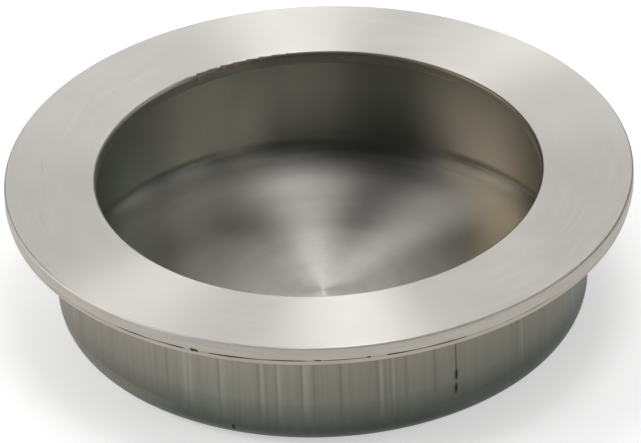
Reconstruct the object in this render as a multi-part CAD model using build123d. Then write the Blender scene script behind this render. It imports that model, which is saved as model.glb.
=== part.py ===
"""A round recessed pull for a sliding door, made of two stainless steel pieces.

A flat ring plate covers a shallow drawn cup. The ring's opening is smaller than the
cup, so the ring overhangs the recess all round, and that overhang is the lip that the
fingertips pull on. The cup's own thin flange lies flat under the ring, and the two rims
meet in the seam that shows round the edge.

Millimetres, +Z out of the door. The cup stands on Z = 0, and the centre line is X = Y = 0.
"""
import os
from math import radians, tan

from build123d import *

# The cup, drawn from one sheet
CUP_DIAMETER = 55.2     # over the wall, for a 56 mm hole in the door
OVERALL_DEPTH = 15.5    # from the ring's show face to the outside of the floor
SHEET_THICKNESS = 0.6
FOOT_BEND = 2.0         # inside radius of the bend from the floor to the wall
SHOULDER_BEND = 0.7     # how much of the wall and of the flange the tight bend between them takes
FLANGE_INSET = 0.15     # how far the flange's edge stays inside the ring's, at the seam

# The ring plate
RING_THICKNESS = 1.5
RIM_REACH = 4.9         # how far the ring covers the door outside the cup's wall
LIP_REACH = 4.0         # how far the ring overhangs the recess inside the cup's wall
LIP_BREAK = 0.4         # both edges of the opening, eased for the fingertips
RIM_BREAK = 0.25        # outer edge of the show face
SEAM_BREAK = 0.15       # outer edge of the underside, the upper side of the seam

# Places that both pieces share
WALL_OUTSIDE = CUP_DIAMETER / 2
WALL_INSIDE = WALL_OUTSIDE - SHEET_THICKNESS
RING_OUTSIDE = WALL_OUTSIDE + RIM_REACH
SEAM_LEVEL = OVERALL_DEPTH - RING_THICKNESS


def full_turn(outline):
    """A closed section drawn in the XZ plane, revolved about the centre line."""
    return revolve(make_face(Plane.XZ * outline), axis=Axis.Z).solid()


def face_ring():
    """The flat ring plate, with the edges of its rim and of its opening broken."""
    opening = WALL_INSIDE - LIP_REACH
    return full_turn(Polyline(
        (opening + LIP_BREAK, OVERALL_DEPTH),
        (RING_OUTSIDE - RIM_BREAK, OVERALL_DEPTH),
        (RING_OUTSIDE, OVERALL_DEPTH - RIM_BREAK),
        (RING_OUTSIDE, SEAM_LEVEL + SEAM_BREAK),
        (RING_OUTSIDE - SEAM_BREAK, SEAM_LEVEL),
        (opening + LIP_BREAK, SEAM_LEVEL),
        (opening, SEAM_LEVEL + LIP_BREAK),
        (opening, OVERALL_DEPTH - LIP_BREAK),
        close=True,
    ))


def drawn_cup():
    """The floor, upright wall and flange, one sheet of even thickness throughout."""
    underside = SEAM_LEVEL - SHEET_THICKNESS
    flange_edge = RING_OUTSIDE - FLANGE_INSET
    foot_centre = (WALL_INSIDE - FOOT_BEND, SHEET_THICKNESS + FOOT_BEND)
    foot_outside = CenterArc(foot_centre, FOOT_BEND + SHEET_THICKNESS, 270, 90)
    foot_inside = CenterArc(foot_centre, FOOT_BEND, 0, -90)

    # The shoulder turns in two steps of 45 degrees, and the sheet's faces meet on their mitres
    mitre = SHEET_THICKNESS * tan(radians(45 / 2))
    lower_side = Polyline(
        foot_outside @ 1,
        (WALL_OUTSIDE, underside - SHOULDER_BEND),
        (WALL_OUTSIDE + SHOULDER_BEND, underside),
        (flange_edge, underside),
        (flange_edge, SEAM_LEVEL),
    )
    upper_side = Polyline(
        lower_side @ 1,
        (WALL_OUTSIDE + SHOULDER_BEND - mitre, SEAM_LEVEL),
        (WALL_INSIDE, underside - SHOULDER_BEND + mitre),
        foot_inside @ 0,
    )
    floor = Polyline(foot_inside @ 1, (0, SHEET_THICKNESS), (0, 0), foot_outside @ 0)
    return full_turn(Curve() + [foot_outside, lower_side, upper_side, foot_inside, floor])


os.makedirs("parts", exist_ok=True)
export_step(face_ring(), "parts/face_ring.step")
export_step(drawn_cup(), "parts/drawn_cup.step")
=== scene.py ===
"""The looks of a round recessed pull handle, made of two stainless steel pieces.

A flat ring plate with a circular satin grain lies on the flange of a shallow cup. The cup is
drawn from one sheet: its wall carries upright draw marks, and its floor was turned.

Metres, +Z out of the door. The cup stands on Z = 0, and the centre line is X = Y = 0.
A value that is said to be in millimetres becomes metres where it is used.
"""
import math
import random

import bpy
import numpy as np
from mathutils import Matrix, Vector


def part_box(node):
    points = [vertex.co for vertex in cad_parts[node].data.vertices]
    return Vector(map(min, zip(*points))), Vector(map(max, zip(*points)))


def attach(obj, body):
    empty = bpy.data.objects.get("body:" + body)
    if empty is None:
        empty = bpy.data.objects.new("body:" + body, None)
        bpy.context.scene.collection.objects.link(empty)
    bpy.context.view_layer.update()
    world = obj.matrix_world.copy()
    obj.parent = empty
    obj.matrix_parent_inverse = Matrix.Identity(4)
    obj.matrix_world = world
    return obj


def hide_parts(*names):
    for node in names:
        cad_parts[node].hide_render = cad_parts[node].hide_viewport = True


MM = 0.001

# Sizes that both pieces share
SIDES = 1440                    # steps round the centre line, each 0.14 mm long at the rim
NEAR = 0.005 * MM               # how close a point lies to a loop that it belongs to

# The ring plate
OPENING = 23.0 * MM             # radius of the opening
LIP_ROUND = 0.4 * MM            # both edges of the opening
RIM_ROUND = 0.25 * MM           # outer edge of the show face
SEAM_ROUND = 0.15 * MM          # outer edge of the underside
RIM_FINISH = 0.05 * MM          # below the show face, where the rim's own finish begins
EDGE_FINISH = 0.032 * MM        # and that of the opening's edge

# The cup, drawn from one sheet
WALL_OUTSIDE = 27.6 * MM        # radius over the wall
SHEET = 0.6 * MM
FOOT_BEND = 2.6 * MM            # outside radius of the bend from the floor to the wall
SHOULDER_BEND = 0.5 * MM        # radius under the flange of the bend from the wall to it
FLANGE_ROUND = 0.12 * MM        # edges of the flange's rim
SHEARED = 0.24 * MM             # how far in the bright cut of the flange's rim reaches
TURNED_TO = 1.62 * MM           # how far up the bend the turned finish of the floor runs

# Steps along the bends of its section, and up the wall
FOOT_STEPS = 10
INSIDE_FOOT_STEPS = 16
WALL_STEPS = 20
SHOULDER_STEPS = 4
RIM_STEPS = 3

# Upright marks that the drawing die left on the wall: degrees round from the front, to the right, and half
# width and depth in millimetres. A raised streak has a depth below 0.
DRAW_MARKS = (
    (-38.7, 0.15, 0.004),
    (-35.8, 0.14, 0.013),
    (-31.2, 0.22, -0.007),
    (-29.9, 0.20, -0.009),
    (-27.9, 0.14, 0.005),
    (-23.3, 0.14, 0.009),
    (-22.6, 0.22, -0.006),
    (-14.5, 0.14, 0.011),
    (-13.7, 0.30, -0.006),
    (-13.0, 0.14, 0.007),
    (-10.7, 0.14, 0.008),
    (-10.2, 0.20, -0.008),
    (-6.3, 0.14, 0.004),
    (-5.4, 0.14, 0.012),
    (-4.6, 0.32, -0.008),
    (-2.8, 0.14, 0.009),
    (0.0, 0.14, 0.004),
    (2.8, 0.14, 0.011),
    (4.7, 0.14, 0.004),
    (10.6, 0.14, 0.012),
    (11.4, 0.28, -0.007),
    (12.1, 0.14, 0.007),
    (13.4, 0.14, 0.010),
    (13.9, 0.20, -0.006),
    (16.8, 0.14, 0.007),
    (23.2, 0.14, 0.010),
    (43.4, 0.14, 0.005),
    (44.6, 0.14, 0.008),
    (46.2, 0.20, -0.005),
)
MARKS_END = 2.6                 # height where the marks have died out, in millimetres
MARKS_FADE = 4.0                # over how many millimetres they do
DARK_DEPTH = 0.045              # a mark this deep is dark all over, in millimetres,
BRIGHT_DEPTH = -0.05            # and a streak raised this far would be bright all over

# Scratches on the wall: degrees from the front, and top, bottom, half width and depth in millimetres
SCRATCHES = (
    (28.25, 12.0, 5.6, 0.08, 0.032),
    (28.25, 6.5, 5.3, 0.15, 0.055),
    (28.1, 4.8, 3.9, 0.16, 0.055),
    (-20.6, 2.0, 1.1, 0.15, 0.070),
)
SCRATCH_ENDS = 1.25             # at this, a scratch has its whole depth along two thirds of its length

# More marks of the same kinds, round the part of the wall that is out of sight
REAR_MARKS = 46
REAR_SEED = 11
REAR_STRETCH = (64, 296)        # degrees from the front
REAR_HALF_WIDTH = (0.14, 0.28)
REAR_DEPTH = (-0.008, 0.012)

# Patches of colour, painted shade and painted light. Their places are in millimetres: up, or to the right of
# the centre. Over two numbers a patch fades in, and is full from the second on. Of four, it fades out over
# the last two.

# Painted shade inside the cup: a dark line in the bend, and a smear of it up the far wall
SHADE_COLOUR = "#2a302b"
SHADE_LINE = (0.50, 1.75, 1.95, 2.65)
SHADE_LINE_STRENGTH = 0.30
SHADE_LINE_DARKER = {           # stretches across that have more of it, and how much
    (-22, -15, -11.5, -8.5): 0.60,
    (12, 16, 19, 26): 0.45,
}
SHADE_SMEAR_ACROSS = (-9, -3.5, 8, 19)
SHADE_SMEAR_BACK = (10, 16)           # behind the centre
SHADE_SMEAR_UP = (0.5, 1.1)
SHADE_SMEAR_THINS = (3, 9)            # between these heights it thins
SHADE_SMEAR_STRENGTH = (0.60, 0.38)   # from the first of these to the second

# Tints across the inside. Painted warm light lies on the right of the wall, of the floor and of the opening's
# edge.
WARM_LIGHT_WALL = (9, 16, 20, 28)
WARM_LIGHT_FLOOR = (11, 20, 26, 28)
WARM_LIGHT_PALES = (17, 7)           # up the wall it pales
WARM_LIGHT_BEND = (0.62, 0.80)       # the bend, above the floor's edge, is tinted as the wall is
# Painted cool light tints the wall at the left, and the wall is paler over the next stretch
COOL_LIGHT_WALL = (-28, -25, -23, -15)
PALE_WALL = (-12.5, -10.2, -7.5, -2)

# The edge of the opening has a brown tint where it meets the face, with a painted highlight in its place at
# the left
BROWN_EDGE = (-0.45, -0.10)     # up from the show face
EDGE_HIGHLIGHT_LEFT = (-12, -15.5)

# The outside of the wall has painted shade that darkens it from the top down to the foot, as a tone at its
# foot, others in the middle and at the top, and a warmer tone at the left. Painted light makes the left half
# lighter than the right.
SHADE_FADE_LOW = (2.0, 5.5)
SHADE_FADE_HIGH = (5.0, 9.5)
LEFT_TONE = (-15, -26)
LEFT_TONE_STRENGTH = 0.5
SIDE_LIGHT_SPAN = (-12, 4)
SIDE_LIGHT_FACTORS = (1.12, 0.90)           # painted light: what the tone is multiplied by on the left and on the right

# Painted light makes the foot of the wall paler at the left and a little at the right
FOOT_LIGHT_HEIGHTS = (1.2, 2.1, 2.8, 3.15)
FOOT_LIGHT_LEFT = (-30, -28, -23, -13)
FOOT_LIGHT_RIGHT = (9, 13, 28, 30)

# A painted highlight lightens the upper edge of the rim at the left
RIM_HIGHLIGHT = (-0.3, -0.1)       # up from the show face
RIM_HIGHLIGHT_LEFT = (12, -4)

# Stretches of the seam under the ring, in degrees from the front, that are smeared shut or gape
SEAM_FILLED = ((-25.8, -25.0), (-22.9, -21.2), (-3.4, -2.5), (8.2, 10.6))
SEAM_OPEN = ((-24.5, -23.4), (-2.1, -1.3), (7.3, 7.7))
STRETCH_FADE = 0.25             # degrees over which such a stretch begins and ends
SEAM_FILL = 0.12 * MM           # how far the flange's edge is pushed out and up there
SEAM_OPENING = 0.10 * MM        # how far it falls back

# Dirt in the seam: stretches in degrees from the front, and how wide its line is there
SEAM_DIRT = (
    (-56, -40, 0.65),
    (-40, -26, 1.00),
    (-24.5, -23.2, 2.20),
    (-21.2, -12, 1.05),
    (-12, -3.4, 0.85),
    (-2.1, -1.1, 1.60),
    (-0.5, 7.2, 0.60),
    (7.3, 7.9, 1.90),
    (8.0, 10.6, 0.30),
    (10.6, 26, 0.95),
    (26, 34, 0.40),
    (34, 46, 0.75),
)
SEAM_DIRT_ELSEWHERE = 0.40
SEAM_DIRT_SWELL = 0.2           # the share by which its width comes and goes,
SEAM_DIRT_SWELLS = 37           # this many times round the part
SEAM_DIRT_REACH = 0.11 * MM     # half its width, where that is 1
SEAM_DIRT_FADE = 0.08 * MM
SEAM_DIRT_COLOUR = "#3a342b"

# The edge of the opening was cut by heat, and is jagged over a stretch at its far left
TOOTH = 0.30 * MM               # from the top of a tooth to its foot
TOOTH_DEPTH = 0.5 * MM          # how far down the edge the teeth reach
TOOTH_PITCH = 3.6               # degrees from one tooth to the next
TOOTHED = ((-36, -7),)          # degrees from the far side, to the right
TOOTH_SIZES = (0.4, 1.0)        # the smallest tooth and the largest, as shares of a whole one
TOOTH_SWELLS = 41               # how often round the opening they grow from one to the other and back

# A short scratch on the left of the show face: its middle, direction and size
FACE_SCRATCH = (-28.55 * MM, 2.6 * MM)
FACE_SCRATCH_TURN = 97          # degrees
FACE_SCRATCH_SIZE = (3.0 * MM, 0.10 * MM)

# The patterns of the finishes. Lines finer than these would not show, so the grain is drawn coarse.
SATIN_GRAIN = 0.30 * MM
GRAIN_DEPTH = 0.003 * MM
SATIN_CLOUDS = 11 * MM
FLOOR_RING = 1.6 * MM
FLOOR_CLOUDS = 6 * MM
MATT_MIDDLE = 3 * MM            # the floor's grain has no direction up to here
TURNED_ROUND = 14 * MM          # and runs evenly round from here out
GRAIN_STRAYS = (1.6, 0.10)      # how far it strays from the circles, at the first radius and at the second
SPECK = 0.07 * MM               # size of the specks that stray
BURNISHED = (12, 6)             # radii in millimetres between which the floor grows smoother, inwards
BURNISH = 0.05                  # by this much less roughness
RIM_LINE_LENGTH = 5 * MM
RIM_LINE_WIDTH = 0.35 * MM
RIPPLE_WIDTH = 0.9 * MM
RIPPLE_HEIGHT = 4.5 * MM
STREAK_WIDTH = 0.55 * MM
STREAK_HEIGHT = 27.5 * MM
INSIDE_STREAK_WIDTH = 1.375 * MM
INSIDE_STREAK_HEIGHT = 55 * MM

# The photograph's camera: a long lens, from the front and above
CAMERA_DISTANCE = 675 * MM      # to the centre of the show face
CAMERA_ELEVATION = 32.95        # degrees above the show face
CAMERA_PITCH = -33.40           # degrees that it looks down
CAMERA_ROLL = 2.41              # degrees that the picture leans
CAMERA_LENS = 367.3             # millimetres
CAMERA_SENSOR = 36              # millimetres across

# The light of the studio. Each softbox faces the part from a metre away: its place round the part, where
# 0 degrees is to the right and 90 behind, its height in degrees, and its power in watts.
ROOM_LIGHT = 0.10
FLOOR_SIZE = 8                  # metres
FLOOR_GLOW = 0.50               # what the floor adds to its own look, where 1 is white
SOFTBOX_SIZE = 0.35             # metres
SOFTBOXES = {
    "softbox_above": (0, 88, 1.25),
    "softbox_above_right": (0, 82, 0.90),
    "softbox_above_front": (300, 70, 0.35),
    "softbox_left_low": (180, 25, 1.80),
    "softbox_left": (190, 45, 0.90),
    "softbox_left_behind": (140, 60, 0.60),
    "softbox_right_low": (0, 25, 0.60),
    "softbox_right_front": (330, 25, 0.85),
    "softbox_behind_right": (80, 45, 0.65),
    "softbox_behind_left": (100, 45, 0.60),
    "softbox_behind_right_low": (80, 25, 0.33),
    "softbox_behind_left_low": (100, 25, 0.25),
}


def linear(hex_colour):
    """An sRGB hex colour as linear red, green and blue, with full alpha."""
    shares = [int(hex_colour[i:i + 2], 16) / 255 for i in (1, 3, 5)]
    return [s / 12.92 if s <= 0.04045 else ((s + 0.055) / 1.055) ** 2.4 for s in shares] + [1.0]


def add_node(tree, kind, inputs=None, **settings):
    """Adds one node. An input takes a plain value or another node's output, and settings are its own."""
    made = tree.nodes.new(kind)
    for name, value in settings.items():
        setattr(made, name, value)
    for socket, value in (inputs or {}).items():
        if isinstance(value, bpy.types.NodeSocket):
            tree.links.new(value, made.inputs[socket])
        else:
            made.inputs[socket].default_value = value
    return made


def new_material(name):
    """An empty material, and its node tree."""
    material = bpy.data.materials.new(name)
    material.use_nodes = True
    material.node_tree.nodes.clear()
    return material, material.node_tree


def round_the_centre(tree):
    """The place, and the direction round the centre line, at each point of a turned surface."""
    place = add_node(tree, "ShaderNodeTexCoord").outputs["Object"]
    across = add_node(tree, "ShaderNodeVectorMath", {0: (0, 0, 1), 1: place}, operation="CROSS_PRODUCT")
    along = add_node(tree, "ShaderNodeVectorMath", {0: across.outputs[0]}, operation="NORMALIZE")
    return place, along.outputs[0]


def distance_out(tree, place):
    """How far a place lies from the centre line."""
    level = add_node(tree, "ShaderNodeVectorMath", {0: place, 1: (1, 1, 0)}, operation="MULTIPLY")
    return add_node(tree, "ShaderNodeVectorMath", {0: level.outputs[0]}, operation="LENGTH").outputs["Value"]


def concentric_lines(tree, place, along, width, patches):
    """Lines round the centre: noise that changes with the radius, and slowly along each circle."""
    out = add_node(tree, "ShaderNodeMath", {0: distance_out(tree, place), 1: width}, operation="DIVIDE")
    around = add_node(tree, "ShaderNodeVectorMath", {0: along, "Scale": patches}, operation="SCALE")
    parts = add_node(tree, "ShaderNodeSeparateXYZ", {0: around.outputs[0]})
    spread = add_node(tree, "ShaderNodeCombineXYZ", {
        0: out.outputs[0],
        1: parts.outputs[0],
        2: parts.outputs[1],
    })
    noise = add_node(tree, "ShaderNodeTexNoise", {"Vector": spread.outputs[0], "Scale": 1.0, "Detail": 3.0})
    return noise.outputs["Fac"]


def soft_patch(tree, strength, *edges):
    """How strongly a patch covers each point. At each edge it fades in, from one place to the next one."""
    for value, outside, inside in edges:
        ramp = add_node(tree, "ShaderNodeMapRange", {
            "Value": value,
            "From Min": outside * MM,
            "From Max": inside * MM,
        }, interpolation_type="SMOOTHSTEP")
        faded = add_node(tree, "ShaderNodeMath", {0: strength, 1: ramp.outputs[0]}, operation="MULTIPLY")
        strength = faded.outputs[0]
    return strength


def circular_satin_steel():
    """Stainless plate with a satin grain: faint circles, and highlights that run out like clock hands."""
    material, tree = new_material("circular_satin_steel")
    place, along = round_the_centre(tree)
    grain = concentric_lines(tree, place, along, SATIN_GRAIN, patches=6)
    clouds = add_node(tree, "ShaderNodeTexNoise", {"Vector": place, "Scale": 1 / SATIN_CLOUDS, "Detail": 2.0})
    tone = add_node(tree, "ShaderNodeMix", {
        0: clouds.outputs["Fac"],
        6: linear("#c6c3bd"),
        7: linear("#d2cfc9"),
    }, data_type="RGBA")
    laid = add_node(tree, "ShaderNodeMapping", {
        "Vector": place,
        "Location": (*FACE_SCRATCH, 0),
        "Rotation": (0, 0, math.radians(FACE_SCRATCH_TURN)),
        "Scale": (FACE_SCRATCH_SIZE[0] / 2, FACE_SCRATCH_SIZE[1] / 2, 1),
    }, vector_type="TEXTURE")
    scratch = add_node(tree, "ShaderNodeMapRange", {
        "Value": distance_out(tree, laid.outputs[0]),
        "From Min": 0.4,
        "From Max": 1.0,
        "To Min": 0.3,
        "To Max": 0.0,
    })
    scratched = add_node(tree, "ShaderNodeMix", {
        0: scratch.outputs[0],
        6: tone.outputs[2],
        7: linear("#6e6a62"),
    }, data_type="RGBA")
    polish = add_node(tree, "ShaderNodeMapRange", {
        "Value": grain,
        "From Min": 0.3,
        "From Max": 0.7,
        "To Min": 0.36,
        "To Max": 0.40,
    })
    relief = add_node(tree, "ShaderNodeBump", {"Strength": 0.35, "Distance": GRAIN_DEPTH, "Height": grain})
    metal = add_node(tree, "ShaderNodeBsdfPrincipled", {
        "Base Color": scratched.outputs[2],
        "Metallic": 1.0,
        "Roughness": polish.outputs[0],
        "Anisotropic": 0.95,
        "Anisotropic Rotation": 0.25,
        "Tangent": along,
        "Normal": relief.outputs[0],
    })
    add_node(tree, "ShaderNodeOutputMaterial", {"Surface": metal.outputs[0]})
    return material


def dirt_in_seam(tree, place):
    """How much dirt covers the rim: the points say how wide its line is, on both sides of the seam."""
    height = add_node(tree, "ShaderNodeSeparateXYZ", {0: place}).outputs[2]
    above = add_node(tree, "ShaderNodeMath", {0: height, 1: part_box("face_ring")[0].z}, operation="SUBTRACT")
    off = add_node(tree, "ShaderNodeMath", {0: above.outputs[0]}, operation="ABSOLUTE")
    width = add_node(tree, "ShaderNodeAttribute", attribute_name="seam_dirt")
    reach = add_node(tree, "ShaderNodeMath", {
        0: width.outputs["Fac"],
        1: SEAM_DIRT_REACH,
    }, operation="MULTIPLY")
    inside = add_node(tree, "ShaderNodeMath", {0: reach.outputs[0], 1: off.outputs[0]}, operation="SUBTRACT")
    dirt = add_node(tree, "ShaderNodeMapRange", {
        "Value": inside.outputs[0],
        "From Min": -SEAM_DIRT_FADE / 2,
        "From Max": SEAM_DIRT_FADE / 2,
    })
    return dirt.outputs[0]


def turned_rim_steel():
    """The outer edge of the ring, turned, with a painted highlight on its upper edge at the left, and dirt at
    the seam.
    """
    material, tree = new_material("turned_rim_steel")
    place, along = round_the_centre(tree)
    laid = add_node(tree, "ShaderNodeMapping", {
        "Vector": place,
        "Scale": (1 / RIM_LINE_LENGTH, 1 / RIM_LINE_LENGTH, 1 / RIM_LINE_WIDTH),
    })
    lines = add_node(tree, "ShaderNodeTexNoise", {"Vector": laid.outputs[0], "Scale": 1.0, "Detail": 3.0})
    tone = add_node(tree, "ShaderNodeMix", {
        0: lines.outputs["Fac"],
        6: linear("#afa99f"),
        7: linear("#c8c2b9"),
    }, data_type="RGBA")
    parts = add_node(tree, "ShaderNodeSeparateXYZ", {0: place})
    show_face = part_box("face_ring")[1].z / MM
    upper_edge = (parts.outputs[2], show_face + RIM_HIGHLIGHT[0], show_face + RIM_HIGHLIGHT[1])
    # A painted highlight lightens the upper edge at the left
    highlighted = add_node(tree, "ShaderNodeMix", {
        0: soft_patch(tree, 1.0, upper_edge, (parts.outputs[0], *RIM_HIGHLIGHT_LEFT)),
        6: tone.outputs[2],
        7: linear("#dedbd5"),
    }, data_type="RGBA")
    soiled = add_node(tree, "ShaderNodeMix", {
        0: dirt_in_seam(tree, place),
        6: highlighted.outputs[2],
        7: linear(SEAM_DIRT_COLOUR),
    }, data_type="RGBA")
    metal = add_node(tree, "ShaderNodeBsdfPrincipled", {
        "Base Color": soiled.outputs[2],
        "Metallic": 1.0,
        "Roughness": 0.55,
        "Anisotropic": 0.3,
        "Anisotropic Rotation": 0.25,
        "Tangent": along,
    })
    add_node(tree, "ShaderNodeOutputMaterial", {"Surface": metal.outputs[0]})
    return material


def tinted_stretch(tree, place, bare, tint, stretch, *edges):
    """A colour that turns into a tint over a stretch across the part."""
    across = add_node(tree, "ShaderNodeSeparateXYZ", {0: place}).outputs[0]
    rise, full, fall, end = stretch
    tinted = add_node(tree, "ShaderNodeMix", {
        0: soft_patch(tree, 1.0, (across, rise, full), (across, end, fall), *edges),
        6: bare,
        7: linear(tint),
    }, data_type="RGBA")
    return tinted.outputs[2]


def shade_in_cup(tree, place, bare):
    """A colour darkened by painted shade, in the bend and up the far wall."""
    across, back, up = add_node(tree, "ShaderNodeSeparateXYZ", {0: place}).outputs
    # Painted shade: a dark line in the bend, darker over two stretches, and a smear up the far wall
    rise, full, fall, end = SHADE_LINE
    in_bend = ((up, rise, full), (up, end, fall))
    shades = [soft_patch(tree, SHADE_LINE_STRENGTH, *in_bend)]
    for (rise, full, fall, end), strength in SHADE_LINE_DARKER.items():
        shades.append(soft_patch(tree, strength, *in_bend, (across, rise, full), (across, end, fall)))
    density = add_node(tree, "ShaderNodeMapRange", {
        "Value": up,
        "From Min": SHADE_SMEAR_THINS[0] * MM,
        "From Max": SHADE_SMEAR_THINS[1] * MM,
        "To Min": SHADE_SMEAR_STRENGTH[0],
        "To Max": SHADE_SMEAR_STRENGTH[1],
    })
    rise, full, fall, end = SHADE_SMEAR_ACROSS
    sides = ((across, rise, full), (across, end, fall))
    shades.append(soft_patch(tree, density.outputs[0], *sides, (back, *SHADE_SMEAR_BACK), (up, *SHADE_SMEAR_UP)))
    colour = bare
    for shade_share in shades:
        covered = add_node(tree, "ShaderNodeMix", {
            0: shade_share,
            6: colour,
            7: linear(SHADE_COLOUR),
        }, data_type="RGBA")
        colour = covered.outputs[2]
    return colour


def heat_tinted_edge():
    """The opening's edge, cut by heat: dull, brownish where it meets the face, with a painted highlight at
    the left.
    """
    material, tree = new_material("heat_tinted_edge")
    place, along = round_the_centre(tree)
    ripples = add_node(tree, "ShaderNodeMapping", {
        "Vector": place,
        "Scale": (1 / RIPPLE_WIDTH, 1 / RIPPLE_WIDTH, 1 / RIPPLE_HEIGHT),
    })
    noise = add_node(tree, "ShaderNodeTexNoise", {"Vector": ripples.outputs[0], "Scale": 1.0, "Detail": 2.0})
    tone = add_node(tree, "ShaderNodeMix", {
        0: noise.outputs["Fac"],
        6: linear("#b3b2a6"),
        7: linear("#bdbcb0"),
    }, data_type="RGBA")
    # Painted warm light on the right
    warm_lit = tinted_stretch(tree, place, tone.outputs[2], "#d6ccba", WARM_LIGHT_WALL)
    parts = add_node(tree, "ShaderNodeSeparateXYZ", {0: place})
    show_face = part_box("face_ring")[1].z
    upper = add_node(tree, "ShaderNodeMapRange", {
        "Value": parts.outputs[2],
        "From Min": show_face + BROWN_EDGE[0] * MM,
        "From Max": show_face + BROWN_EDGE[1] * MM,
    })
    tinted = add_node(tree, "ShaderNodeMix", {
        0: upper.outputs[0],
        6: shade_in_cup(tree, place, warm_lit),
        7: linear("#78695a"),
    }, data_type="RGBA")
    # At the left, a painted highlight takes the place of the brown tint on the upper edge
    left = add_node(tree, "ShaderNodeMapRange", {
        "Value": parts.outputs[0],
        "From Min": EDGE_HIGHLIGHT_LEFT[0] * MM,
        "From Max": EDGE_HIGHLIGHT_LEFT[1] * MM,
    })
    bare = add_node(tree, "ShaderNodeMath", {0: left.outputs[0], 1: upper.outputs[0]}, operation="MULTIPLY")
    lightened = add_node(tree, "ShaderNodeMix", {
        0: bare.outputs[0],
        6: tinted.outputs[2],
        7: linear("#bfbdb7"),
    }, data_type="RGBA")
    metal = add_node(tree, "ShaderNodeBsdfPrincipled", {
        "Base Color": lightened.outputs[2],
        "Metallic": 1.0,
        "Roughness": 0.5,
        "Tangent": along,
    })
    add_node(tree, "ShaderNodeOutputMaterial", {"Surface": metal.outputs[0]})
    return material


def turned_floor_steel():
    """The inside of the cup's floor, turned in a lathe: faint broad rings, cloudy, and matt in the middle."""
    material, tree = new_material("turned_floor_steel")
    place, along = round_the_centre(tree)
    radius = distance_out(tree, place)
    disorder = add_node(tree, "ShaderNodeMapRange", {
        "Value": radius,
        "From Min": MATT_MIDDLE,
        "From Max": TURNED_ROUND,
        "To Min": GRAIN_STRAYS[0],
        "To Max": GRAIN_STRAYS[1],
    })
    speck = add_node(tree, "ShaderNodeTexNoise", {"Vector": place, "Scale": 1 / SPECK, "Detail": 0.0})
    stray = add_node(tree, "ShaderNodeVectorMath", {
        0: speck.outputs["Color"],
        1: (0.5, 0.5, 0.5),
    }, operation="SUBTRACT")
    strayed = add_node(tree, "ShaderNodeVectorMath", {
        0: stray.outputs[0],
        "Scale": disorder.outputs[0],
    }, operation="SCALE")
    grain_line = add_node(tree, "ShaderNodeVectorMath", {0: along, 1: strayed.outputs[0]}, operation="ADD")
    rings = concentric_lines(tree, place, along, FLOOR_RING, patches=1.5)
    grain = concentric_lines(tree, place, along, SATIN_GRAIN, patches=4)
    clouds = add_node(tree, "ShaderNodeTexNoise", {"Vector": place, "Scale": 1 / FLOOR_CLOUDS, "Detail": 3.0})
    tone = add_node(tree, "ShaderNodeMix", {
        0: rings,
        6: linear("#c0bfb9"),
        7: linear("#d6d4cd"),
    }, data_type="RGBA")
    up = add_node(tree, "ShaderNodeSeparateXYZ", {0: place}).outputs[2]
    # Painted warm light on the right of the floor, and of the bend as on the wall
    warm_lit = tinted_stretch(tree, place, tone.outputs[2], "#bcb5a7", WARM_LIGHT_FLOOR)
    tinted = tinted_stretch(tree, place, warm_lit, "#b5aa98", WARM_LIGHT_WALL, (up, *WARM_LIGHT_BEND))
    cloudy = add_node(tree, "ShaderNodeMath", {0: clouds.outputs["Fac"], 1: grain}, operation="ADD")
    polish = add_node(tree, "ShaderNodeMapRange", {
        "Value": cloudy.outputs[0],
        "From Min": 0.6,
        "From Max": 1.4,
        "To Min": 0.39,
        "To Max": 0.48,
    })
    burnished = soft_patch(tree, BURNISH, (radius, *BURNISHED))
    smoother = add_node(tree, "ShaderNodeMath", {0: polish.outputs[0], 1: burnished}, operation="SUBTRACT")
    # The floor's colour is darkened by painted shade in the bend and near the far wall
    metal = add_node(tree, "ShaderNodeBsdfPrincipled", {
        "Base Color": shade_in_cup(tree, place, tinted),
        "Metallic": 1.0,
        "Roughness": smoother.outputs[0],
        "Anisotropic": 0.95,
        "Anisotropic Rotation": 0.25,
        "Tangent": grain_line.outputs[0],
    })
    add_node(tree, "ShaderNodeOutputMaterial", {"Surface": metal.outputs[0]})
    return material


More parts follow.
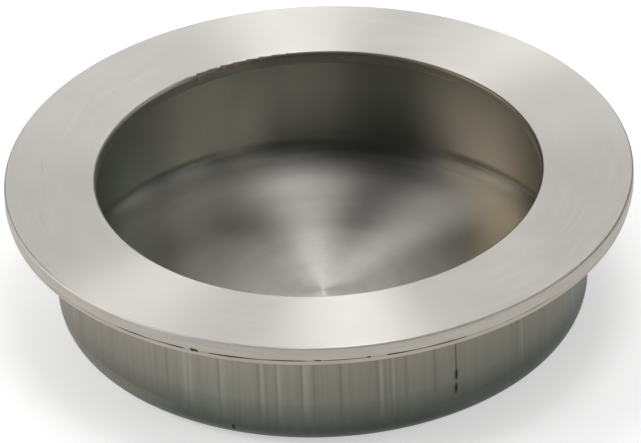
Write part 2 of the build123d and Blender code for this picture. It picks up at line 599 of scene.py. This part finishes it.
def drawn_sheet_steel():
    """The outside of the wall: dull and streaked as the drawing die leaves it, with painted shade at the
    foot.
    """
    material, tree = new_material("drawn_sheet_steel")
    place, along = round_the_centre(tree)
    parts = add_node(tree, "ShaderNodeSeparateXYZ", {0: place})
    # Painted shade darkens the wall from the top down to the foot
    middle = add_node(tree, "ShaderNodeMapRange", {
        "Value": parts.outputs[2],
        "From Min": SHADE_FADE_LOW[0] * MM,
        "From Max": SHADE_FADE_LOW[1] * MM,
    })
    lower = add_node(tree, "ShaderNodeMix", {
        0: middle.outputs[0],
        6: linear("#515750"),
        7: linear("#777970"),
    }, data_type="RGBA")
    top = add_node(tree, "ShaderNodeMapRange", {
        "Value": parts.outputs[2],
        "From Min": SHADE_FADE_HIGH[0] * MM,
        "From Max": SHADE_FADE_HIGH[1] * MM,
    })
    upper = add_node(tree, "ShaderNodeMix", {
        0: top.outputs[0],
        6: lower.outputs[2],
        7: linear("#8a8579"),
    }, data_type="RGBA")
    left = add_node(tree, "ShaderNodeMapRange", {
        "Value": parts.outputs[0],
        "From Min": LEFT_TONE[0] * MM,
        "From Max": LEFT_TONE[1] * MM,
        "To Max": LEFT_TONE_STRENGTH,
    })
    ground = add_node(tree, "ShaderNodeMix", {
        0: left.outputs[0],
        6: upper.outputs[2],
        7: linear("#8d8378"),
    }, data_type="RGBA")
    # Painted light makes the foot paler at the left and a little at the right
    rise, full, fall, end = FOOT_LIGHT_HEIGHTS
    low_down = ((parts.outputs[2], rise, full), (parts.outputs[2], end, fall))
    foot_light_left = tinted_stretch(tree, place, ground.outputs[2], "#7c7c74", FOOT_LIGHT_LEFT, *low_down)
    foot_light_right = tinted_stretch(tree, place, foot_light_left, "#60665f", FOOT_LIGHT_RIGHT, *low_down)
    upright = add_node(tree, "ShaderNodeMapping", {
        "Vector": place,
        "Scale": (1 / STREAK_WIDTH, 1 / STREAK_WIDTH, 1 / STREAK_HEIGHT),
    })
    streaks = add_node(tree, "ShaderNodeTexNoise", {
        "Vector": upright.outputs[0],
        "Scale": 1.0,
        "Detail": 4.0,
    })
    shade = add_node(tree, "ShaderNodeMapRange", {
        "Value": streaks.outputs["Fac"],
        "From Min": 0.35,
        "From Max": 0.65,
        "To Min": 0.95,
        "To Max": 1.04,
    })
    # Painted light makes the left half lighter and the right half darker
    painted_side_light = add_node(tree, "ShaderNodeMapRange", {
        "Value": parts.outputs[0],
        "From Min": SIDE_LIGHT_SPAN[0] * MM,
        "From Max": SIDE_LIGHT_SPAN[1] * MM,
        "To Min": SIDE_LIGHT_FACTORS[0],
        "To Max": SIDE_LIGHT_FACTORS[1],
    })
    uneven = add_node(tree, "ShaderNodeMath", {0: shade.outputs[0], 1: painted_side_light.outputs[0]}, operation="MULTIPLY")
    streaked = add_node(tree, "ShaderNodeVectorMath", {
        0: foot_light_right,
        "Scale": uneven.outputs[0],
    }, operation="SCALE")
    marks = add_node(tree, "ShaderNodeAttribute", attribute_name="draw_marks")
    cut = add_node(tree, "ShaderNodeMapRange", {"Value": marks.outputs["Fac"], "From Max": DARK_DEPTH})
    raised = add_node(tree, "ShaderNodeMapRange", {"Value": marks.outputs["Fac"], "From Max": BRIGHT_DEPTH})
    scored = add_node(tree, "ShaderNodeMix", {
        0: cut.outputs[0],
        6: streaked.outputs[0],
        7: linear("#2b2822"),
    }, data_type="RGBA")
    lightened = add_node(tree, "ShaderNodeMix", {
        0: raised.outputs[0],
        6: scored.outputs[2],
        7: linear("#c9c5ba"),
    }, data_type="RGBA")
    metal = add_node(tree, "ShaderNodeBsdfPrincipled", {
        "Base Color": lightened.outputs[2],
        "Metallic": 1.0,
        "Roughness": 0.45,
        "Anisotropic": 0.5,
        "Tangent": along,
    })
    add_node(tree, "ShaderNodeOutputMaterial", {"Surface": metal.outputs[0]})
    return material


def inside_wall_steel():
    """The inside of the wall: drawn and left dull, faintly streaked upwards, with painted shade and painted
    light on it.
    """
    material, tree = new_material("inside_wall_steel")
    place, along = round_the_centre(tree)
    upright = add_node(tree, "ShaderNodeMapping", {
        "Vector": place,
        "Scale": (1 / INSIDE_STREAK_WIDTH, 1 / INSIDE_STREAK_WIDTH, 1 / INSIDE_STREAK_HEIGHT),
    })
    streaks = add_node(tree, "ShaderNodeTexNoise", {
        "Vector": upright.outputs[0],
        "Scale": 1.0,
        "Detail": 3.0,
    })
    tone = add_node(tree, "ShaderNodeMix", {
        0: streaks.outputs["Fac"],
        6: linear("#b9baae"),
        7: linear("#c8c9bd"),
    }, data_type="RGBA")
    pale = tinted_stretch(tree, place, tone.outputs[2], "#d6d7cb", PALE_WALL)
    # Painted cool light at the left, and painted warm light on the right that pales up the wall
    cool_lit = tinted_stretch(tree, place, pale, "#bcc5bd", COOL_LIGHT_WALL)
    up = add_node(tree, "ShaderNodeSeparateXYZ", {0: place}).outputs[2]
    warm_lit = tinted_stretch(tree, place, cool_lit, "#d8cbb8", WARM_LIGHT_WALL, (up, *WARM_LIGHT_PALES))
    metal = add_node(tree, "ShaderNodeBsdfPrincipled", {
        "Base Color": shade_in_cup(tree, place, warm_lit),
        "Metallic": 1.0,
        "Roughness": 0.36,
        "Anisotropic": 0.75,
        "Anisotropic Rotation": 0.25,
        "Tangent": along,
    })
    add_node(tree, "ShaderNodeOutputMaterial", {"Surface": metal.outputs[0]})
    return material


def sheared_edge_steel():
    """The rim of the flange, cut bright, with dirt at its upper edge."""
    material, tree = new_material("sheared_edge_steel")
    place, along = round_the_centre(tree)
    patches = add_node(tree, "ShaderNodeTexNoise", {"Vector": place, "Scale": 1 / RIM_LINE_LENGTH})
    tone = add_node(tree, "ShaderNodeMix", {
        0: patches.outputs["Fac"],
        6: linear("#9b978e"),
        7: linear("#b2aea6"),
    }, data_type="RGBA")
    soiled = add_node(tree, "ShaderNodeMix", {
        0: dirt_in_seam(tree, place),
        6: tone.outputs[2],
        7: linear(SEAM_DIRT_COLOUR),
    }, data_type="RGBA")
    metal = add_node(tree, "ShaderNodeBsdfPrincipled", {
        "Base Color": soiled.outputs[2],
        "Metallic": 1.0,
        "Roughness": 0.4,
        "Tangent": along,
    })
    add_node(tree, "ShaderNodeOutputMaterial", {"Surface": metal.outputs[0]})
    return material


def places_of(mesh):
    """The places of a mesh's points, one row each."""
    places = np.empty(len(mesh.vertices) * 3)
    mesh.vertices.foreach_get("co", places)
    return places.reshape(-1, 3)


def select_loop(piece, radius, level):
    """Selects the edge loop at a radius and a height, and nothing else, in edit mode."""
    bpy.ops.object.mode_set(mode="OBJECT")
    mesh = piece.data
    places = places_of(mesh)
    off_radius = np.abs(np.hypot(places[:, 0], places[:, 1]) - radius)
    on_loop = (off_radius < NEAR) & (np.abs(places[:, 2] - level) < NEAR)
    ends = np.empty(len(mesh.edges) * 2, dtype=np.int32)
    mesh.edges.foreach_get("vertices", ends)
    mesh.vertices.foreach_set("select", on_loop)
    mesh.edges.foreach_set("select", on_loop[ends.reshape(-1, 2)].all(axis=1))
    mesh.polygons.foreach_set("select", np.zeros(len(mesh.polygons), dtype=bool))
    bpy.ops.object.mode_set(mode="EDIT")


def start_disc(name, radius, level):
    """A round sheet of many sides, in edit mode and selected, from which a piece is shaped."""
    bpy.ops.object.select_all(action="DESELECT")
    bpy.ops.mesh.primitive_circle_add(vertices=SIDES, radius=radius, fill_type="NGON")
    disc = bpy.context.object
    disc.name = name
    disc.data.name = name
    bpy.ops.object.mode_set(mode="EDIT")
    bpy.context.tool_settings.mesh_select_mode = (False, True, False)
    bpy.ops.mesh.select_all(action="SELECT")
    bpy.ops.transform.translate(value=(0, 0, level))
    return disc


def finish_turned(piece):
    """Smooth round the centre line, with flat faces shaded flat up to their rounded edges."""
    bpy.ops.object.shade_smooth()
    weighted = piece.modifiers.new("Weighted Normal", "WEIGHTED_NORMAL")
    weighted.mode = "FACE_AREA"
    weighted.keep_sharp = False
    bpy.ops.object.modifier_apply(modifier=weighted.name)
    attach(piece, "root")


def give_finish(piece, material, chosen):
    """Gives a material to the faces whose middle, as a radius and a height, is chosen."""
    piece.data.materials.append(material)
    index = len(piece.data.materials) - 1
    for face in piece.data.polygons:
        if chosen(math.hypot(face.center.x, face.center.y), face.center.z):
            face.material_index = index


def note_on_points(mesh, name, values):
    """Writes a number for each point of a mesh, which a material reads by its name."""
    note = mesh.attributes.new(name, "FLOAT", "POINT")
    note.data.foreach_set("value", values.astype(np.float32))


def turn_of(places):
    """Degrees round the centre line from the front, to the right."""
    return np.degrees(np.arctan2(places[:, 0], -places[:, 1]))


def share_inside(turns, stretches):
    """1 inside the given stretches of degrees, fading to 0 outside them."""
    share = np.zeros_like(turns)
    for start, end in stretches:
        outside = np.maximum(start - turns, turns - end)
        share = np.maximum(share, np.clip(1 - outside / STRETCH_FADE, 0, 1))
    return share


def seam_dirt(places):
    """How wide the line of dirt in the seam is round the part, and none where it is smeared shut."""
    turns = turn_of(places)
    width = np.full_like(turns, SEAM_DIRT_ELSEWHERE)
    for start, end, width_there in SEAM_DIRT:
        width += (width_there - width) * share_inside(turns, ((start, end),))
    width *= 1 + SEAM_DIRT_SWELL * np.sin(np.radians(turns * SEAM_DIRT_SWELLS))
    return width * (1 - share_inside(turns, SEAM_FILLED))


def work_the_opening(plate, show_face):
    """Makes the upper edge of the opening jagged, as it is where heat cut it."""
    mesh = plate.data
    places = places_of(mesh)
    radii = np.hypot(places[:, 0], places[:, 1])
    turns = np.degrees(np.arctan2(places[:, 0], places[:, 1]))
    teeth = 0.5 - turns / TOOTH_PITCH % 1
    smallest, largest = TOOTH_SIZES
    size = smallest + (largest - smallest) * (1 + np.sin(np.radians(turns * TOOTH_SWELLS))) / 2
    near_top = np.clip((places[:, 2] - show_face) / TOOTH_DEPTH + 1, 0, 1)
    on_edge = (radii < OPENING + LIP_ROUND + NEAR) * share_inside(turns, TOOTHED)
    moved = radii + TOOTH * teeth * size * near_top * on_edge
    places[:, 0] *= moved / radii
    places[:, 1] *= moved / radii
    mesh.vertices.foreach_set("co", places.ravel())
    mesh.update()


def ring_plate():
    """The flat ring: a disc, opened by an inset, thickened and rounded at its four edges."""
    low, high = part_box("face_ring")
    outside = high.x
    plate = start_disc("ring_plate", outside, low.z)
    bpy.ops.mesh.inset(thickness=outside - OPENING, use_even_offset=True)
    bpy.ops.mesh.delete(type="FACE")
    bpy.ops.mesh.select_all(action="SELECT")
    bpy.ops.mesh.extrude_region_move(TRANSFORM_OT_translate={"value": (0, 0, high.z - low.z)})
    bpy.ops.mesh.select_all(action="SELECT")
    bpy.ops.mesh.normals_make_consistent(inside=False)
    for radius, level, size, steps in (
        (OPENING, high.z, LIP_ROUND, 8),
        (OPENING, low.z, LIP_ROUND, 6),
        (outside, high.z, RIM_ROUND, 6),
        (outside, low.z, SEAM_ROUND, 4),
    ):
        select_loop(plate, radius, level)
        bpy.ops.mesh.bevel(offset=size, segments=steps, affect="EDGES")
    bpy.ops.object.mode_set(mode="OBJECT")
    note_on_points(plate.data, "seam_dirt", seam_dirt(places_of(plate.data)))
    work_the_opening(plate, high.z)
    finish_turned(plate)
    give_finish(plate, circular_satin_steel(), lambda radius, level: True)
    give_finish(plate, turned_rim_steel(), lambda radius, level: (
        radius > outside - RIM_ROUND and level < high.z - RIM_FINISH))
    give_finish(plate, heat_tinted_edge(), lambda radius, level: (
        radius < OPENING + LIP_ROUND and level < high.z - EDGE_FINISH))
    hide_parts("face_ring")


def arc(centre_radius, centre_level, bend, start, end, steps):
    """Radius and height of the points along a bend, from a start to an end in degrees."""
    for step in range(steps + 1):
        turn = math.radians(start + (end - start) * step / steps)
        yield centre_radius + bend * math.cos(turn), centre_level + bend * math.sin(turn)


def sheet_section(flange_edge, flange_top):
    """The section of the sheet: out and up its outside, round the flange's edge, and back down its inside."""
    underside = flange_top - SHEET
    wall_top = underside - SHOULDER_BEND
    foot = (WALL_OUTSIDE - FOOT_BEND, FOOT_BEND)
    shoulder = (WALL_OUTSIDE + SHOULDER_BEND, wall_top)
    rim = flange_edge - FLANGE_ROUND
    yield from arc(*foot, FOOT_BEND, -90, 0, FOOT_STEPS)
    for step in range(1, WALL_STEPS):
        yield WALL_OUTSIDE, FOOT_BEND + (wall_top - FOOT_BEND) * step / WALL_STEPS
    yield from arc(*shoulder, SHOULDER_BEND, 180, 90, SHOULDER_STEPS)
    yield from arc(rim, underside + FLANGE_ROUND, FLANGE_ROUND, -90, 0, RIM_STEPS)
    yield from arc(rim, flange_top - FLANGE_ROUND, FLANGE_ROUND, 0, 90, RIM_STEPS)
    yield from arc(*shoulder, SHOULDER_BEND + SHEET, 90, 180, SHOULDER_STEPS)
    yield from arc(*foot, FOOT_BEND - SHEET, 0, -90, INSIDE_FOOT_STEPS)


def rear_marks():
    """Marks for the part of the wall that is out of sight, of the same kinds as those in front."""
    chance = random.Random(REAR_SEED)
    for _ in range(REAR_MARKS):
        yield chance.uniform(*REAR_STRETCH), chance.uniform(*REAR_HALF_WIDTH), chance.uniform(*REAR_DEPTH)


def draw_marks(turns, levels):
    """Depth of the upright marks at points of the wall, in millimetres; a raised streak is below 0."""
    fade = np.clip((levels / MM - MARKS_END) / MARKS_FADE, 0, 1)
    depth = np.zeros_like(turns)
    degree = math.radians(1) * WALL_OUTSIDE / MM
    for turn, half_width, mark_depth in (*DRAW_MARKS, *rear_marks()):
        off = ((turns - turn + 180) % 360 - 180) * degree / half_width
        depth += mark_depth * np.exp(-off ** 2) * fade
    for turn, top, bottom, half_width, mark_depth in SCRATCHES:
        off = (turns - turn) * degree / half_width
        along = (levels / MM - (top + bottom) / 2) / ((top - bottom) / 2)
        depth += mark_depth * np.exp(-off ** 2) * np.clip(SCRATCH_ENDS * (1 - along ** 4), 0, 1)
    return depth


def work_the_sheet(shell, flange_edge, flange_top):
    """Cuts the draw marks into the wall, and fills or opens the seam where the photograph shows that."""
    mesh = shell.data
    places = places_of(mesh)
    note_on_points(mesh, "seam_dirt", seam_dirt(places))
    radii = np.hypot(places[:, 0], places[:, 1])
    turns = turn_of(places)
    levels = places[:, 2]

    # The marks lie outside the middle of the wall's sheet, a limit that runs in at 45 degrees over the bend
    limit = WALL_OUTSIDE - SHEET / 2 - np.clip(FOOT_BEND - levels, 0, FOOT_BEND)
    marked = (radii > limit) & (radii < WALL_OUTSIDE + NEAR) & (levels < flange_top - SHEET - NEAR)
    depth = np.where(marked, draw_marks(turns, levels), 0.0)
    upper_rim = (radii > flange_edge - FLANGE_ROUND - NEAR) & (levels > flange_top - FLANGE_ROUND - NEAR)
    filled = np.where(upper_rim, share_inside(turns, SEAM_FILLED), 0.0)
    opened = np.where(upper_rim, share_inside(turns, SEAM_OPEN), 0.0)
    moved = radii - depth * MM + filled * SEAM_FILL - opened * SEAM_OPENING
    places[:, 0] *= moved / radii
    places[:, 1] *= moved / radii
    places[:, 2] += filled * SEAM_FILL
    mesh.vertices.foreach_set("co", places.ravel())
    note_on_points(mesh, "draw_marks", depth)
    mesh.update()


def inside_bend(radius, level):
    """Whether a face is on the inner side of the bend between the floor and the wall."""
    centre = (WALL_OUTSIDE - FOOT_BEND, FOOT_BEND)
    return level <= FOOT_BEND and math.dist((radius, level), centre) < FOOT_BEND - SHEET / 2


def cup_shell():
    """The cup: a disc whose edge is drawn along the section of the sheet, and closed inside by its floor."""
    low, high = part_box("drawn_cup")
    section = list(sheet_section(high.x, high.z))
    radius, height = section[0]
    shell = start_disc("cup_shell", radius, height)
    bpy.ops.mesh.flip_normals()
    for next_radius, next_height in section[1:]:
        select_loop(shell, radius, height)
        bpy.ops.mesh.extrude_edges_move(TRANSFORM_OT_translate={"value": (0, 0, next_height - height)})
        share = next_radius / radius
        bpy.ops.transform.resize(value=(share, share, 1), center_override=(0, 0, next_height))
        radius, height = next_radius, next_height
    bpy.ops.mesh.edge_face_add()
    bpy.ops.mesh.select_all(action="SELECT")
    bpy.ops.mesh.normals_make_consistent(inside=False)
    bpy.ops.object.mode_set(mode="OBJECT")
    work_the_sheet(shell, high.x, high.z)
    finish_turned(shell)
    give_finish(shell, drawn_sheet_steel(), lambda radius, level: True)
    give_finish(shell, inside_wall_steel(), lambda radius, level: (
        inside_bend(radius, level)
        or level > FOOT_BEND and radius < WALL_OUTSIDE - SHEET / 2
        or level > high.z - SHEET / 2))
    give_finish(shell, turned_floor_steel(), lambda radius, level: (
        inside_bend(radius, level) and level < TURNED_TO
        or radius < WALL_OUTSIDE - FOOT_BEND and abs(level - SHEET) < NEAR))
    give_finish(shell, sheared_edge_steel(), lambda radius, level: radius > high.x - SHEARED)
    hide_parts("drawn_cup")


def add_camera(face_level):
    """The photograph's view. The roll turns the camera first, and then it is pitched down."""
    elevation = math.radians(CAMERA_ELEVATION)
    back = CAMERA_DISTANCE * math.cos(elevation)
    rise = CAMERA_DISTANCE * math.sin(elevation)
    bpy.ops.object.camera_add(location=(0, -back, face_level + rise))
    camera = bpy.context.object
    camera.rotation_mode = "ZYX"
    camera.rotation_euler = (math.radians(90 + CAMERA_PITCH), 0, math.radians(-CAMERA_ROLL))
    camera.data.lens = CAMERA_LENS
    camera.data.sensor_width = CAMERA_SENSOR
    camera.data.clip_start = 0.05
    camera.data.clip_end = 20
    bpy.context.scene.camera = camera


def add_softbox(name, azimuth, elevation, power):
    """A square soft light on a dome over the part, facing it."""
    azimuth = math.radians(azimuth)
    elevation = math.radians(elevation)
    flat = math.cos(elevation)
    place = (flat * math.cos(azimuth), flat * math.sin(azimuth), math.sin(elevation))
    bpy.ops.object.light_add(type="AREA", location=place)
    lamp = bpy.context.object
    lamp.name = name
    lamp.rotation_euler = (math.radians(90) - elevation, 0, azimuth + math.radians(90))
    lamp.data.shape = "SQUARE"
    lamp.data.size = SOFTBOX_SIZE
    lamp.data.energy = power


def matt_white_floor():
    """The studio's floor: matt white, and lighter to the camera and in reflections."""
    material, tree = new_material("matt_white_floor")
    paper = add_node(tree, "ShaderNodeBsdfDiffuse", {"Color": linear("#eeeeee")})
    rays = add_node(tree, "ShaderNodeLightPath")
    seen = add_node(tree, "ShaderNodeMath", {
        0: rays.outputs["Is Camera Ray"],
        1: rays.outputs["Is Glossy Ray"],
    }, operation="MAXIMUM")
    seen = add_node(tree, "ShaderNodeMath", {
        0: seen.outputs[0],
        1: rays.outputs["Is Transmission Ray"],
    }, operation="MAXIMUM")
    strength = add_node(tree, "ShaderNodeMath", {0: seen.outputs[0], 1: FLOOR_GLOW}, operation="MULTIPLY")
    glow = add_node(tree, "ShaderNodeEmission", {"Color": linear("#ffffff"), "Strength": strength.outputs[0]})
    both = add_node(tree, "ShaderNodeAddShader", {0: paper.outputs[0], 1: glow.outputs[0]})
    add_node(tree, "ShaderNodeOutputMaterial", {"Surface": both.outputs[0]})
    return material


def add_studio():
    """A pale floor, an even room and the softboxes."""
    bpy.ops.object.select_all(action="DESELECT")
    bpy.ops.mesh.primitive_plane_add(size=FLOOR_SIZE)
    floor = bpy.context.object
    floor.name = "studio_floor"
    floor.data.materials.append(matt_white_floor())
    world = bpy.data.worlds.new("studio_room")
    world.use_nodes = True
    world.node_tree.nodes.clear()
    room = add_node(world.node_tree, "ShaderNodeBackground", {
        "Color": linear("#ffffff"),
        "Strength": ROOM_LIGHT,
    })
    add_node(world.node_tree, "ShaderNodeOutputWorld", {"Surface": room.outputs[0]})
    bpy.context.scene.world = world
    for name, (azimuth, elevation, power) in SOFTBOXES.items():
        add_softbox(name, azimuth, elevation, power)


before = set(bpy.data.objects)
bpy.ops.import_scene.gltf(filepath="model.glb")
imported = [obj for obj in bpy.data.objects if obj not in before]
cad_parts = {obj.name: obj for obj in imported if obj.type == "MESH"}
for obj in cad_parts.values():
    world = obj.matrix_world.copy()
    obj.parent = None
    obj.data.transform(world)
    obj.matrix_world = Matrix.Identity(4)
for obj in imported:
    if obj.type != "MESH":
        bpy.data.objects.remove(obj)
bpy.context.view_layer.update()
ring_plate()
cup_shell()
add_camera(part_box("face_ring")[1].z)
add_studio()
bpy.context.scene.view_settings.view_transform = "Standard"
